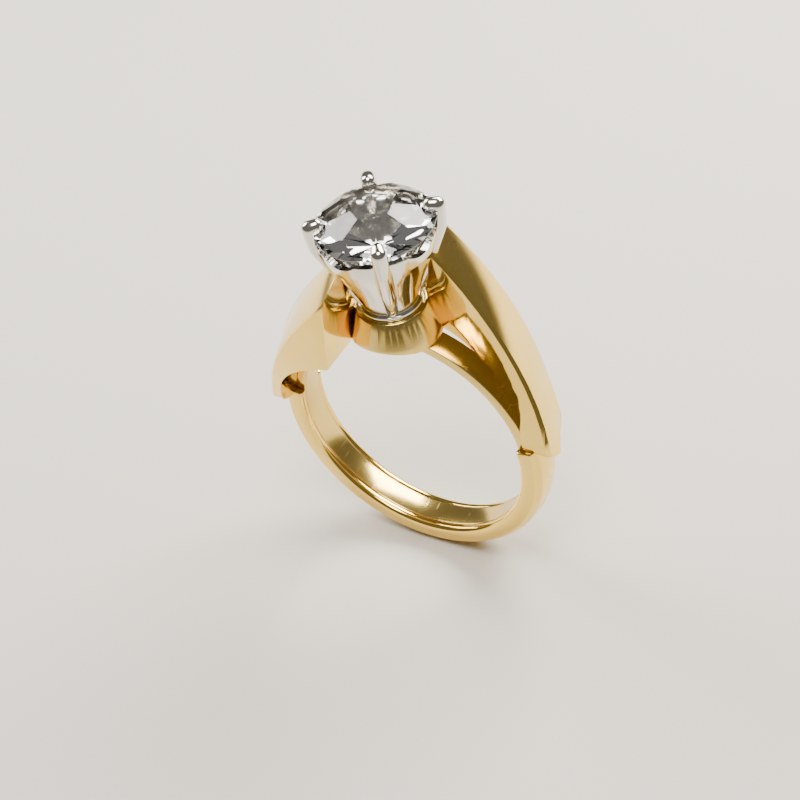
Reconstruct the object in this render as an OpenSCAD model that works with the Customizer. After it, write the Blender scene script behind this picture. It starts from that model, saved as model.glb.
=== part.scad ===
// Two-tone solitaire ring with two flat-topped arms that sweep past a four-prong head.
// Millimetres, +Z up. The origin is the centre of the finger hole and the finger axis is Y.

/* [Finger hole] */
// Diameter of the finger hole
finger_d = 16.0; // [14:0.1:22]
// Thickness of the thin inner rail
rail_t = 0.7; // [0.5:0.05:1.2]
// Width of the thin inner rail
rail_w = 1.7; // [1:0.1:3]

/* [Lower shank] */
// Thickness of the lower shank
shank_t = 1.55; // [1.2:0.05:2.5]
// Width of the lower shank
shank_w = 2.7; // [2:0.1:5]
// Angle above the horizontal where the lower shank stops, degrees
shank_rise = 10; // [0:1:24]

/* [Arms] */
// Width of the flat top of each arm
arm_w = 3.7; // [2.5:0.1:5]
// Sideways offset of an arm at its lower end
arm_y_low = 0.4; // [0:0.1:2.5]
// Sideways offset of an arm beside the head
arm_y_top = 3.0; // [2:0.1:5]
// Distance of the lower end of an arm from the centre line
arm_x_low = 10.1; // [9:0.05:11]
// Height of the lower end of an arm
arm_z_low = 1.0; // [-1:0.1:4]
// Distance of the upper end of an arm from the centre line
arm_x_top = 1.4; // [1:0.1:4]
// Height of the upper end of an arm
arm_z_top = 14.6; // [12:0.1:17]
// Distance of the point that bends the arm outwards
arm_x_bow = 8.7; // [6:0.1:11]
// Height of the point that bends the arm outwards
arm_z_bow = 7.9; // [5:0.1:11]
// Length over which the lower end of an arm is rounded
arm_round = 1.5; // [0.5:0.1:2]
// Sideways slope of the flat top of an arm beside the head, degrees
arm_bank = 26; // [0:1:30]
// Width of the small bevel round the top of an arm
arm_bevel = 0.22; // [0.05:0.01:0.4]

/* [Head] */
// Turn of the head about the vertical, degrees
head_turn = -10; // [-45:1:45]
// Diameter of the stone
stone_d = 7.4; // [4:0.1:9]
// Height of the girdle of the stone over the finger axis
girdle_z = 16.7; // [13:0.1:19]
// Height of the underside of the cup
cup_z = 10.9; // [9.5:0.1:12]
// Radius of the underside of the cup
cup_base_r = 1.85; // [1:0.05:3]
// Wall thickness of the cup
cup_wall = 0.45; // [0.3:0.05:1]
// Width of a prong
prong_w = 1.0; // [0.6:0.05:1.4]
// Radius of the yellow collar under the head
collar_r = 2.6; // [1.5:0.05:3.5]
// Thickness of the bright seat washer
washer_t = 0.3; // [0.15:0.05:0.6]

/* [Hidden] */
finger_r = finger_d / 2;
rail_r = finger_r + rail_t;
shank_r = finger_r + shank_t;
stone_r = stone_d / 2;
table_r = stone_r * 0.56;
crown_h = stone_d * 0.155;
pavilion_h = stone_d * 0.43;
girdle_t = 0.14;
cup_top_z = girdle_z - 0.55;
prong_r = prong_w / 2;
prong_reach = stone_r + 0.12;
steps = 11;
round_steps = 5;
bore_fn = 128;
gold = [0.86, 0.66, 0.24];
white_gold = [0.80, 0.78, 0.72];
clear_stone = [0.93, 0.95, 0.97, 0.55];

// Point on the outer line of an arm, s runs from the lower end (0) to the head (1).
function arm_point(s) = [
  (1 - s) * (1 - s) * arm_x_low + 2 * s * (1 - s) * arm_x_bow + s * s * arm_x_top,
  (1 - s) * (1 - s) * arm_z_low + 2 * s * (1 - s) * arm_z_bow + s * s * arm_z_top
];
// Point on the inner line of an arm, which follows the rail round the finger.
function arm_inner(s) = let (a = 8 + 67 * s) [(rail_r - 0.05) * cos(a), (rail_r - 0.05) * sin(a)];
// Sideways offset of an arm: it leans out quickly and then runs level past the head.
function arm_y(s) = arm_y_low + (arm_y_top - arm_y_low) * (1 - pow(1 - s, 1.6));
// Half of the height that the flat top loses from its head side to its outer side.
function arm_fall(s) = arm_w / 2 * tan(arm_bank * (0.3 + 0.7 * sqrt(s)));
// Half width of the top, drawn in at the rounded lower end.
function arm_half(s, lead) = arm_w / 2 * (lead >= 1 ? 1 : sqrt(max(0.06, 1 - pow(1 - lead, 2.4))));

// One thin cross section of an arm: a wall with a small bevel along both top edges.
module arm_section(p, q, y, half, fall) {
  dx = p[0] - q[0];
  dz = p[1] - q[1];
  len = norm([dx, dz]);
  tilt = atan2(dx, dz);
  translate([q[0], y, q[1]])
    rotate([0, tilt, 0])
      rotate([90, 0, 90])
        linear_extrude(height = 0.02, center = true)
          polygon([
            [-half, 0],
            [half, 0],
            [half, len - fall - arm_bevel],
            [half - arm_bevel, len - fall],
            [-half + arm_bevel, len + fall],
            [-half, len + fall - arm_bevel]
          ]);
}

module arm() {
  run = arm_round / norm([arm_x_low - arm_x_top, arm_z_low - arm_z_top]);
  stations = concat(
    [for (i = [0 : round_steps - 1]) let (k = i / round_steps) [run * k, k]],
    [for (i = [0 : steps]) [run + (1 - run) * i / steps, 1]]
  );
  for (i = [0 : len(stations) - 2]) {
    a = stations[i];
    b = stations[i + 1];
    hull() {
      arm_section(arm_point(a[0]), arm_inner(a[0]), arm_y(a[0]), arm_half(a[0], a[1]), arm_fall(a[0]));
      arm_section(arm_point(b[0]), arm_inner(b[0]), arm_y(b[0]), arm_half(b[0], b[1]), arm_fall(b[0]));
    }
  }
}

// Room that the head takes out of both arms.
module head_room() {
  translate([0, 0, cup_z - 0.02])
    cylinder(h = cup_top_z - cup_z + 3, r1 = cup_base_r + 0.05, r2 = stone_r + 0.75, $fn = 64);
}

module right_arm() {
  color(gold) difference() {
    arm();
    head_room();
    shank_room();
  }
}

module left_arm() {
  color(gold) rotate([0, 0, 180]) difference() {
    arm();
    head_room();
    shank_room();
  }
}

// Room that the inner rail and the lower shank take out of the arms.
module shank_room() {
  rotate([90, 0, 0]) {
    cylinder(h = rail_w, r = rail_r, center = true, $fn = bore_fn);
    cylinder(h = 4 * shank_w, r = finger_r + 0.1, center = true, $fn = bore_fn);
    rotate([0, 0, -90])
      rotate_extrude(angle = 90 + shank_rise, $fn = bore_fn)
        translate([finger_r - 1, -shank_w / 2])
          square([shank_t + 0.9, shank_w]);
  }
}

module finger_rail() {
  color(gold) rotate([90, 0, 0]) difference() {
    cylinder(h = rail_w, r = rail_r, center = true, $fn = bore_fn);
    cylinder(h = rail_w + 1, r = finger_r, center = true, $fn = bore_fn);
  }
}

module lower_shank() {
  color(gold) rotate([90, 0, 0])
    rotate([0, 0, 180 - shank_rise])
      rotate_extrude(angle = 180 + 2 * shank_rise, $fn = bore_fn)
        difference() {
          polygon([
            [finger_r + 0.02, -shank_w / 2 + 0.2],
            [finger_r + 0.2, -shank_w / 2],
            [shank_r - 0.45, -shank_w / 2],
            [shank_r - 0.12, -shank_w / 2 + 0.45],
            [shank_r, 0],
            [shank_r - 0.12, shank_w / 2 - 0.45],
            [shank_r - 0.45, shank_w / 2],
            [finger_r + 0.2, shank_w / 2],
            [finger_r + 0.02, shank_w / 2 - 0.2]
          ]);
          translate([finger_r - 1, -rail_w / 2])
            square([rail_t + 1, rail_w]);
        }
}

module head_collar() {
  color(gold) difference() {
    translate([0, 0, finger_r + 0.3])
      cylinder(h = cup_z - washer_t - finger_r - 0.3, r1 = collar_r + 0.35, r2 = collar_r - 0.35, $fn = 64);
    rotate([90, 0, 0])
      cylinder(h = 3 * collar_r, r = rail_r, center = true, $fn = bore_fn);
  }
}

module seat_washer() {
  color(white_gold) translate([0, 0, cup_z - washer_t])
    cylinder(h = washer_t, r = cup_base_r + 0.15, $fn = 64);
}

module head_cup() {
  color(white_gold) rotate([0, 0, head_turn]) difference() {
    rotate_extrude($fn = 96)
      polygon([
        [0, cup_z],
        [cup_base_r, cup_z],
        [cup_base_r + 0.1, cup_z + 0.6],
        [cup_base_r + 0.55, cup_z + 1.8],
        [stone_r - 0.7, cup_z + 3.1],
        [stone_r - 0.25, cup_z + 4.2],
        [stone_r - 0.02, cup_top_z],
        [stone_r - cup_wall, cup_top_z],
        [stone_r - 0.25 - cup_wall, cup_z + 4.3],
        [stone_r - 0.75 - cup_wall, cup_z + 3.3],
        [1.0, cup_z + 2.0],
        [0, cup_z + 1.9]
      ]);
    // Scallops between the prongs
    for (a = [0 : 90 : 270])
      rotate([0, 0, a])
        translate([0, 0, girdle_z + 0.75])
          rotate([0, 90, 0])
            cylinder(h = 2 * stone_r, r = 1.75, $fn = 48);
    prong_set();
  }
}

// One upright prong that leans outwards and carries a rounded claw on the stone.
module prong_body() {
  hull() {
    translate([cup_base_r - 0.15, 0, cup_z + 0.25])
      sphere(r = prong_r * 0.72, $fn = 20);
    translate([cup_base_r + 0.65, 0, cup_z + 2.0])
      sphere(r = prong_r * 0.9, $fn = 20);
  }
  hull() {
    translate([cup_base_r + 0.65, 0, cup_z + 2.0])
      sphere(r = prong_r * 0.9, $fn = 20);
    translate([prong_reach - 0.1, 0, girdle_z - 1.0])
      sphere(r = prong_r * 0.95, $fn = 20);
  }
  hull() {
    translate([prong_reach - 0.1, 0, girdle_z - 1.0])
      sphere(r = prong_r * 0.95, $fn = 20);
    translate([prong_reach + 0.02, 0, girdle_z + 0.45])
      sphere(r = prong_r, $fn = 20);
  }
  hull() {
    translate([prong_reach + 0.02, 0, girdle_z + 0.45])
      sphere(r = prong_r, $fn = 20);
    translate([prong_reach - 0.38, 0, girdle_z + 0.55])
      sphere(r = prong_r * 0.92, $fn = 20);
  }
}

module prong_set() {
  for (a = [45 : 90 : 315])
    rotate([0, 0, a])
      prong_body();
}

module prong(a) {
  color(white_gold) difference() {
    rotate([0, 0, head_turn + a])
      prong_body();
    rotate([0, 0, head_turn])
      stone_solid(0.01);
  }
}

module prong_right() {
  prong(45);
}

module prong_back() {
  prong(135);
}

module prong_left() {
  prong(225);
}

module prong_front() {
  prong(315);
}

// Round brilliant: eight sided table, rounded girdle and a sixteen sided pavilion.
module stone_solid(extra) {
  translate([0, 0, girdle_z]) {
    hull() {
      cylinder(h = girdle_t + extra, r = stone_r + extra, center = true, $fn = 32);
      rotate([0, 0, 22.5])
        translate([0, 0, crown_h * 0.55])
          cylinder(h = 0.01, r = stone_r * 0.82 + extra, $fn = 8);
      translate([0, 0, crown_h - 0.01])
        cylinder(h = 0.01 + extra, r = table_r + extra, $fn = 8);
    }
    hull() {
      cylinder(h = girdle_t + extra, r = stone_r + extra, center = true, $fn = 32);
      translate([0, 0, -pavilion_h])
        cylinder(h = 0.01, r = 0.06 + extra, $fn = 8);
    }
  }
}

module stone() {
  color(clear_stone) rotate([0, 0, head_turn])
    stone_solid(0);
}

finger_rail();
lower_shank();
right_arm();
left_arm();
head_collar();
seat_washer();
head_cup();
prong_right();
prong_back();
prong_left();
prong_front();
stone();
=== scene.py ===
import math

import bpy
from mathutils import Matrix, Vector


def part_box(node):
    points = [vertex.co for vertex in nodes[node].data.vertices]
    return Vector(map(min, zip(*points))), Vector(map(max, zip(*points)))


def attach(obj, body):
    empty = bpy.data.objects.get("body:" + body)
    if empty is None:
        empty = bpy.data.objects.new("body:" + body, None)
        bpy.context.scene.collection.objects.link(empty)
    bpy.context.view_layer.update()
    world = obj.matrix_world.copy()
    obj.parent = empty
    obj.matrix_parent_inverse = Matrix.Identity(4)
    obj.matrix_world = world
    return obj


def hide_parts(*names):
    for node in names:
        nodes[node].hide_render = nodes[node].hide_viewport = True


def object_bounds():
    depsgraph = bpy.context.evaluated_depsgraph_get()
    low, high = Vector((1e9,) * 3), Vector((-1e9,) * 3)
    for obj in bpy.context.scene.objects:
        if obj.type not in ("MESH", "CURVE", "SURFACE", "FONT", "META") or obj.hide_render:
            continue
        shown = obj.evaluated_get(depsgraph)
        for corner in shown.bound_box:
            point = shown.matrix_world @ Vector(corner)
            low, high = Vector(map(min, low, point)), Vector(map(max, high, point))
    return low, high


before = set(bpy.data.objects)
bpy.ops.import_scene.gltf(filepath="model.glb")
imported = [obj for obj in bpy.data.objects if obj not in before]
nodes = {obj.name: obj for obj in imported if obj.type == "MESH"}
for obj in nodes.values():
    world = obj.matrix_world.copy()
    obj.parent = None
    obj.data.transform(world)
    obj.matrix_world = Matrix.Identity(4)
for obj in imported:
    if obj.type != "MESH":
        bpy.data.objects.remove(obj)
cad_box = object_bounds()

# %% [markdown]
# A two-tone ring is a handful of solid metal pieces soldered together: a thin rail round the
# finger, a lower shank, two flat-topped arms, a collar, a thin washer, and a white gold cup whose
# four prongs hold one round stone. The imported model gives each piece its place and the stone its
# outer size. This lesson adds what a bench jeweller adds: soft edges, polish and facets. The
# widths of the soft edges and the fine differences between facets are typed in.

# %% Sizes that the pieces share
MM = 0.001

# The stone's box can't tell these two, so they repeat what the part's source says.
GIRDLE_SHARE = 0.735  # how much of the stone's depth lies under its girdle
HEAD_TURN = math.radians(-10)

stone_low, stone_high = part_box("stone")
stone_radius = (stone_high.x - stone_low.x) / 2
stone_depth = stone_high.z - stone_low.z
girdle = Vector((0.0, 0.0, stone_low.z + stone_depth * GIRDLE_SHARE))
print(f"stone {2 * stone_radius / MM:.1f} mm across, {stone_depth / MM:.1f} mm deep")


# %% [markdown]
# Operators act on whatever is selected, and the loaded model arrives selected. The first helper
# clears the selection and, when it is given a piece, picks it and makes it the active one. The
# other two write a piece's place into its mesh and apply its modifiers.

# %% Selection helpers
def select_only(piece):
    bpy.ops.object.select_all(action="DESELECT")
    if piece is not None:
        piece.select_set(True)
        bpy.context.view_layer.objects.active = piece


def settle(piece):
    """Puts the place of a piece into its mesh, so that its object sits at the origin."""
    select_only(piece)
    bpy.ops.object.transform_apply(location=True, rotation=True, scale=True)


def apply_all(piece):
    select_only(piece)
    for modifier in list(piece.modifiers):
        bpy.ops.object.modifier_apply(modifier=modifier.name)


# %% [markdown]
# Polished gold is never a perfect mirror. Wear leaves hairlines that run several ways, and the
# polishing mop leaves slow waves. Both alloys show the same two effects, so each effect is a
# shader node group that is built once and placed in each material with its own values.

# %% Node group: hairline scratches
HAIRLINE_SCALE = 5200.0
MOP_SCALE = 240.0
HAIRLINE_RUNS = ((0.4, 0.06), (1.5, 0.09), (2.5, 0.05))  # a turn in radians and a stretch each
HAIRLINE_FROM, HAIRLINE_FULL = 0.66, 0.74  # noise values where a line starts and is complete


def new_group(name, inputs, outputs):
    group = bpy.data.node_groups.new(name, "ShaderNodeTree")
    for socket_name, default in inputs:
        socket = group.interface.new_socket(socket_name, in_out="INPUT", socket_type="NodeSocketFloat")
        socket.default_value = default
    for socket_name, kind in outputs:
        group.interface.new_socket(socket_name, in_out="OUTPUT", socket_type=kind)
    return group, group.nodes.new("NodeGroupInput"), group.nodes.new("NodeGroupOutput")


def hairline_group():
    group, entry, leave = new_group(
        "hairline_scratches",
        [("Scale", HAIRLINE_SCALE), ("Amount", 0.5)],
        [("Mask", "NodeSocketFloat")],
    )
    place = group.nodes.new("ShaderNodeTexCoord")
    total = None
    for turn, stretch in HAIRLINE_RUNS:
        mapping = group.nodes.new("ShaderNodeMapping")
        mapping.inputs["Rotation"].default_value = (turn, turn * 0.7, turn * 1.3)
        mapping.inputs["Scale"].default_value = (1.0, stretch, 1.0)
        noise = group.nodes.new("ShaderNodeTexNoise")
        noise.inputs["Detail"].default_value = 3.0
        ramp = group.nodes.new("ShaderNodeMapRange")
        ramp.inputs["From Min"].default_value = HAIRLINE_FROM
        ramp.inputs["From Max"].default_value = HAIRLINE_FULL
        group.links.new(place.outputs["Object"], mapping.inputs["Vector"])
        group.links.new(mapping.outputs["Vector"], noise.inputs["Vector"])
        group.links.new(entry.outputs["Scale"], noise.inputs["Scale"])
        group.links.new(noise.outputs["Fac"], ramp.inputs["Value"])
        if total is None:
            total = ramp.outputs["Result"]
        else:
            join = group.nodes.new("ShaderNodeMath")
            join.operation = "MAXIMUM"
            group.links.new(total, join.inputs[0])
            group.links.new(ramp.outputs["Result"], join.inputs[1])
            total = join.outputs["Value"]
    gain = group.nodes.new("ShaderNodeMath")
    gain.operation = "MULTIPLY"
    group.links.new(total, gain.inputs[0])
    group.links.new(entry.outputs["Amount"], gain.inputs[1])
    group.links.new(gain.outputs["Value"], leave.inputs["Mask"])
    return group


hairlines = hairline_group()
print("node group", hairlines.name)


# %% Node group: slow waves left by the mop
def mop_group():
    group, entry, leave = new_group(
        "mop_waves",
        [("Scale", MOP_SCALE)],
        [("Wave", "NodeSocketFloat")],
    )
    place = group.nodes.new("ShaderNodeTexCoord")
    noise = group.nodes.new("ShaderNodeTexNoise")
    noise.inputs["Detail"].default_value = 2.0
    group.links.new(place.outputs["Object"], noise.inputs["Vector"])
    group.links.new(entry.outputs["Scale"], noise.inputs["Scale"])
    group.links.new(noise.outputs["Fac"], leave.inputs["Wave"])
    return group


mop_waves = mop_group()
print("node group", mop_waves.name)


# %% [markdown]
# A metal keeps its colour in the base colour and its polish in the roughness. The waves move the
# colour a little between a bright and a deep tone, the hairlines roughen the polish, and both
# reach a bump so that highlights break up the way they do on a ring that has been worn.

# %% The gold materials: yellow, a rougher yellow darkened as painted shade for the rail and collar, and white
RELIEF_DEPTH = 0.02 * MM
RELIEF_STRENGTH = 0.12
SCRATCH_ROUGHNESS = 0.22


def gold_material(name, bright, deep, polish, scratch, wave_depth):
    material = bpy.data.materials.new(name)
    material.use_nodes = True
    tree = material.node_tree
    shader = tree.nodes["Principled BSDF"]
    shader.inputs["Metallic"].default_value = 1.0
    lines = tree.nodes.new("ShaderNodeGroup")
    lines.node_tree = hairlines
    lines.inputs["Scale"].default_value = HAIRLINE_SCALE
    lines.inputs["Amount"].default_value = scratch
    waves = tree.nodes.new("ShaderNodeGroup")
    waves.node_tree = mop_waves
    waves.inputs["Scale"].default_value = MOP_SCALE
    tone = tree.nodes.new("ShaderNodeMix")
    tone.data_type = "RGBA"
    tone.inputs["A"].default_value = (*deep, 1.0)
    tone.inputs["B"].default_value = (*bright, 1.0)
    tree.links.new(waves.outputs["Wave"], tone.inputs["Factor"])
    tree.links.new(tone.outputs["Result"], shader.inputs["Base Color"])
    rough = tree.nodes.new("ShaderNodeMapRange")
    rough.inputs["To Min"].default_value = polish
    rough.inputs["To Max"].default_value = polish + SCRATCH_ROUGHNESS
    tree.links.new(lines.outputs["Mask"], rough.inputs["Value"])
    tree.links.new(rough.outputs["Result"], shader.inputs["Roughness"])
    relief = tree.nodes.new("ShaderNodeMath")
    relief.operation = "MULTIPLY_ADD"
    relief.inputs[1].default_value = wave_depth
    tree.links.new(waves.outputs["Wave"], relief.inputs[0])
    tree.links.new(lines.outputs["Mask"], relief.inputs[2])
    bump = tree.nodes.new("ShaderNodeBump")
    bump.inputs["Strength"].default_value = RELIEF_STRENGTH
    bump.inputs["Distance"].default_value = RELIEF_DEPTH
    bump.invert = True
    tree.links.new(relief.outputs["Value"], bump.inputs["Height"])
    tree.links.new(bump.outputs["Normal"], shader.inputs["Normal"])
    print("material", name)
    return material


yellow_gold = gold_material("yellow_gold", (1.0, 0.73, 0.20), (0.80, 0.53, 0.10), 0.10, 0.30, 0.5)
# The rail round the finger and the collar under the head use the same yellow gold, rougher and painted
# darker as shade.
shaded_yellow_gold = gold_material("shaded_yellow_gold", (0.90, 0.67, 0.21), (0.64, 0.44, 0.11), 0.18, 0.5, 0.9)
white_gold = gold_material("white_gold", (0.88, 0.85, 0.79), (0.68, 0.63, 0.55), 0.09, 0.25, 0.4)


# %% [markdown]
# The stone is clear, and its sparkle comes from real facets. Its index of refraction is a little
# over window glass. A diamond's is far higher, but a value of 2.2 left this stone dark under soft
# light, so the value here is a choice of look. A very faint veil of dust moves the roughness.

# %% The stone's material
STONE_INDEX = 1.62
DUST_SCALE = 1500.0
DUST_FROM = 0.45  # the noise value where the veil starts
DUST_ROUGHNESS = 0.03


def stone_material():
    material = bpy.data.materials.new("clear_stone")
    material.use_nodes = True
    tree = material.node_tree
    shader = tree.nodes["Principled BSDF"]
    shader.inputs["Transmission Weight"].default_value = 1.0
    shader.inputs["IOR"].default_value = STONE_INDEX
    shader.inputs["Base Color"].default_value = (0.97, 0.98, 1.0, 1.0)
    dust = tree.nodes.new("ShaderNodeTexNoise")
    dust.inputs["Scale"].default_value = DUST_SCALE
    place = tree.nodes.new("ShaderNodeTexCoord")
    tree.links.new(place.outputs["Object"], dust.inputs["Vector"])
    veil = tree.nodes.new("ShaderNodeMapRange")
    veil.inputs["From Min"].default_value = DUST_FROM
    veil.inputs["To Min"].default_value = 0.0
    veil.inputs["To Max"].default_value = DUST_ROUGHNESS
    tree.links.new(dust.outputs["Fac"], veil.inputs["Value"])
    tree.links.new(veil.outputs["Result"], shader.inputs["Roughness"])
    return material


clear_stone = stone_material()
print("material", clear_stone.name)


# %% [markdown]
# A cutter makes a round brilliant by grinding flats on a turned blank. The same is done here: a
# cylinder is the blank, and each flat is one bisect that throws away what lies outside it and
# fills the cut. A flat is given by its slope from the girdle plane, its turn round the axis and
# the distance of its plane from the middle of the girdle.

# %% The stone, cut facet by facet
BLANK_SIDES = 64
HALF_GIRDLE = 0.07 * MM
CROWN_RUN = 0.44  # the crown's level run from girdle to table, as a share of the radius
CUT_TOLERANCE = 1e-7
SAME_POINT = 0.002 * MM


def grind(slope, turn, reach, upward):
    """One flat: its plane passes at reach along the outward normal from the middle of the girdle."""
    tilt = math.radians(slope)
    normal = Vector((math.sin(tilt) * math.cos(turn), math.sin(tilt) * math.sin(turn),
                     math.cos(tilt) if upward else -math.cos(tilt)))
    bpy.ops.mesh.select_all(action="SELECT")
    bpy.ops.mesh.bisect(plane_co=girdle + normal * reach, plane_no=normal, use_fill=True,
                        clear_outer=True, threshold=CUT_TOLERANCE)


def rim_reach(slope, spare):
    """How far out a flat lies that just touches the girdle's edge when spare is 1."""
    tilt = math.radians(slope)
    return math.sin(tilt) * stone_radius * spare + math.cos(tilt) * HALF_GIRDLE


def cut_stone():
    select_only(None)
    bpy.ops.mesh.primitive_cylinder_add(vertices=BLANK_SIDES, radius=stone_radius, depth=2 * stone_depth,
                                        location=girdle)
    stone = bpy.context.object
    stone.name = "brilliant_stone"
    settle(stone)
    bpy.ops.object.mode_set(mode="EDIT")
    table_height = stone_high.z - girdle.z
    point_depth = girdle.z - stone_low.z
    bpy.ops.mesh.select_all(action="SELECT")
    bpy.ops.mesh.bisect(plane_co=girdle + Vector((0, 0, table_height)), plane_no=(0, 0, 1),
                        use_fill=True, clear_outer=True, threshold=CUT_TOLERANCE)
    main_slope = math.degrees(math.atan2(table_height - HALF_GIRDLE, stone_radius * CROWN_RUN))
    pavilion_slope = math.degrees(math.atan2(point_depth - HALF_GIRDLE, stone_radius))

    # Each round of flats: how many, how many steps the first is turned by, and for each flat its
    # slope, its reach as a share of the girdle's, and True on the crown.
    rounds = [
        (8, 0.0, [(main_slope - 1.5, 0.985, True), (pavilion_slope - 0.6, 0.985, False)]),
        (8, 0.5, [(main_slope * 0.62, 1.09, True)]),
        (16, 0.5, [(main_slope + 8, 0.995, True), (pavilion_slope + 1.6, 0.992, False)]),
    ]
    for count, first, flats in rounds:
        for i in range(count):
            turn = HEAD_TURN + math.tau * (i + first) / count
            for slope, spare, upward in flats:
                grind(slope, turn, rim_reach(slope, spare), upward)
    bpy.ops.mesh.select_all(action="SELECT")
    bpy.ops.mesh.remove_doubles(threshold=SAME_POINT)
    bpy.ops.mesh.normals_make_consistent(inside=False)
    bpy.ops.object.mode_set(mode="OBJECT")
    bpy.ops.object.shade_flat()
    stone.data.materials.append(clear_stone)
    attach(stone, "root")
    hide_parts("stone")
    print(f"stone: {len(stone.data.polygons)} faces")


cut_stone()


# %% [markdown]
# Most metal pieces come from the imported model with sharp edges, and polishing leaves few of
# those. Each piece is copied and its loose triangles are merged. The band, arms, collar and
# washer then get a small bevel on their sharp edges. The prongs are already rounded in the model
# and are only smoothed. The cup is only smoothed too, so its scalloped rim stays sharp.

# %% A count of the edges that don't join exactly two faces
def open_edges(piece):
    uses = {}
    for face in piece.data.polygons:
        for key in face.edge_keys:
            uses[key] = uses.get(key, 0) + 1
    return sum(1 for count in uses.values() if count != 2)


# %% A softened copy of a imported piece
MERGE_DISTANCE = 0.001 * MM
FLAT_ENOUGH = math.radians(0.8)
BEVEL_STEPS = 3


def soften(node, name, slot, material, width, sharp):
    select_only(None)
    piece = nodes[node].copy()
    piece.data = nodes[node].data.copy()
    piece.name = name
    for key in [key for key in piece.keys() if key.startswith("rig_")]:
        del piece[key]
    piece.parent = None
    bpy.context.scene.collection.objects.link(piece)
    select_only(piece)
    bpy.ops.object.mode_set(mode="EDIT")
    bpy.ops.mesh.select_all(action="SELECT")
    bpy.ops.mesh.remove_doubles(threshold=MERGE_DISTANCE)
    bpy.ops.mesh.dissolve_limited(angle_limit=FLAT_ENOUGH)
    bpy.ops.mesh.normals_make_consistent(inside=False)
    bpy.ops.object.mode_set(mode="OBJECT")
    merged = open_edges(piece)
    if width:
        bevel = piece.modifiers.new("soft edges", "BEVEL")
        bevel.width = width * MM
        bevel.segments = BEVEL_STEPS
        bevel.limit_method = "ANGLE"
        bevel.angle_limit = math.radians(sharp)
        bevel.use_clamp_overlap = True
        apply_all(piece)
    select_only(piece)
    bpy.ops.object.shade_smooth_by_angle(angle=math.radians(sharp))
    piece.data.materials.clear()
    piece.data.materials.append(material)
    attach(piece, "root")
    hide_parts(node)
    print(f"{name}: {len(piece.data.polygons)} faces, open edges {merged} then {open_edges(piece)}")


# The rail and the collar take the darker yellow, whose colour is painted shade.
# Node, new name, slot, material, bevel in millimetres, and the angle in degrees taken as sharp.
METAL = [
    ("finger_rail", "rail_soft", "yellow_gold", shaded_yellow_gold, 0.10, 28.0),
    ("lower_shank", "shank_soft", "yellow_gold", yellow_gold, 0.10, 20.0),
    ("right_arm", "right_arm_soft", "yellow_gold", yellow_gold, 0.05, 22.0),
    ("left_arm", "left_arm_soft", "yellow_gold", yellow_gold, 0.05, 22.0),
    ("head_collar", "collar_soft", "yellow_gold", shaded_yellow_gold, 0.12, 28.0),
    ("seat_washer", "washer_soft", "white_gold", white_gold, 0.08, 28.0),
    ("head_cup", "cup_soft", "white_gold", white_gold, 0.0, 35.0),
]
for row in METAL:
    soften(*row)
for side in ("right", "back", "left", "front"):
    soften(f"prong_{side}", f"prong_{side}_soft", "white_gold", white_gold, 0.0, 50.0)


# %% [markdown]
# Polished metal shows its surroundings, so the light is made of large soft panels with darker
# gaps between them. The floor is plain and pale, and the ring stands on the bottom of its shank.

# %% Floor and light
FLOOR_SIZE = 1.2
PANELS_FACE = Vector((0, 0, 0.008))
lowest = cad_box[0].z
select_only(None)
bpy.ops.mesh.primitive_plane_add(size=FLOOR_SIZE, location=(0, 0, lowest))
floor = bpy.context.object
floor.name = "floor"
paper = bpy.data.materials.new("pale_floor")
paper.use_nodes = True
paper.node_tree.nodes["Principled BSDF"].inputs["Base Color"].default_value = (0.60, 0.57, 0.52, 1.0)
paper.node_tree.nodes["Principled BSDF"].inputs["Roughness"].default_value = 0.8
floor.data.materials.append(paper)

world = bpy.data.worlds.new("studio")
world.use_nodes = True
world.node_tree.nodes["Background"].inputs["Color"].default_value = (0.80, 0.76, 0.70, 1.0)
world.node_tree.nodes["Background"].inputs["Strength"].default_value = 0.22
bpy.context.scene.world = world


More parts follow.
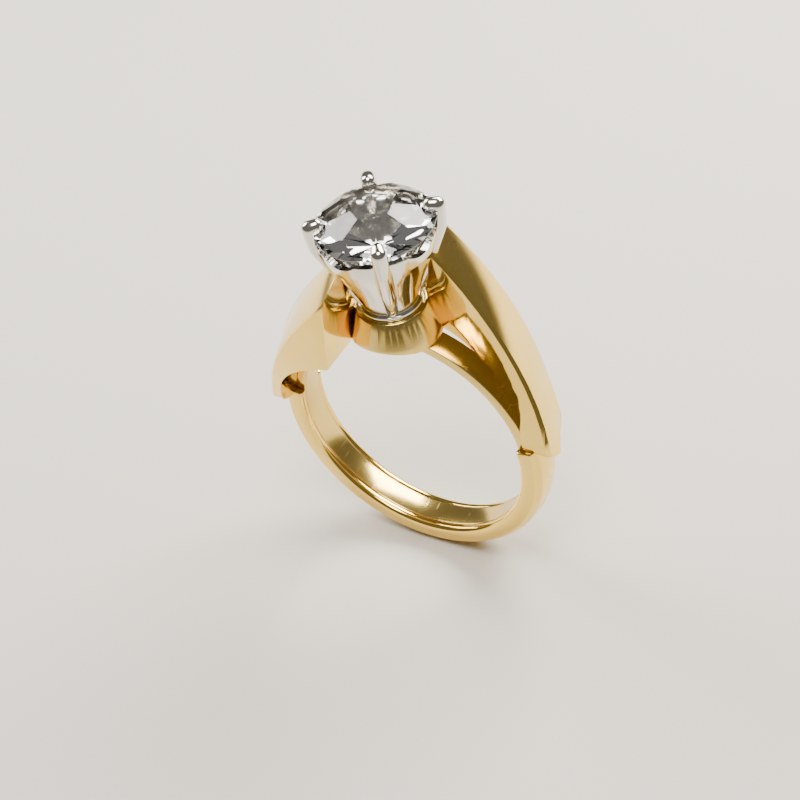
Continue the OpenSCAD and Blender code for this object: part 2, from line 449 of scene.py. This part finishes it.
def panel(name, place, size, power, colour):
    light = bpy.data.lights.new(name, "AREA")
    light.shape = "RECTANGLE"
    light.size, light.size_y = size
    light.energy = power
    light.color = colour
    lamp = bpy.data.objects.new(name, light)
    bpy.context.scene.collection.objects.link(lamp)
    lamp.location = place
    lamp.rotation_mode = "QUATERNION"
    lamp.rotation_quaternion = (PANELS_FACE - Vector(place)).to_track_quat("-Z", "Y")
    return lamp


panel("key_panel", (0.03, 0.13, 0.12), (0.14, 0.09), 0.95, (1.0, 0.96, 0.88))
panel("fill_panel", (-0.15, 0.02, 0.10), (0.08, 0.12), 0.40, (1.0, 0.97, 0.92))
panel("top_panel", (0.04, -0.06, 0.25), (0.12, 0.12), 0.8, (1.0, 0.97, 0.92))
print("floor and three panels")


# %% [markdown]
# The camera looks down at the ring from the front right with a long lens, and it is rolled a
# little so that the ring leans to the left. It aims well under the head, which puts the stone
# above the middle of the frame. These values were set by trial.

# %% Camera
CAMERA_SIDE = math.radians(38)
CAMERA_RISE = math.radians(42)
CAMERA_FAR = 0.125
ROLL = math.radians(-12.5)
AIM_BELOW = 14.2 * MM
AIM_ASIDE = -0.8 * MM
away = Vector((math.sin(CAMERA_SIDE) * math.cos(CAMERA_RISE),
               -math.cos(CAMERA_SIDE) * math.cos(CAMERA_RISE), math.sin(CAMERA_RISE)))
beside = Vector((math.cos(CAMERA_SIDE), math.sin(CAMERA_SIDE), 0.0))
aim = Vector((0, 0, girdle.z - AIM_BELOW)) + beside * AIM_ASIDE
camera = bpy.data.objects.new("camera", bpy.data.cameras.new("camera"))
bpy.context.scene.collection.objects.link(camera)
camera.data.lens = 88.0
camera.data.sensor_width = 36.0
camera.data.clip_start = 0.01
camera.location = aim + away * CAMERA_FAR
level = (-away).to_track_quat("-Z", "Y").to_matrix().to_4x4()
camera.matrix_world = Matrix.Translation(camera.location) @ level @ Matrix.Rotation(ROLL, 4, "Z")
bpy.context.scene.camera = camera
print("camera", [round(v, 4) for v in camera.location])

# %% The end
print("the end")
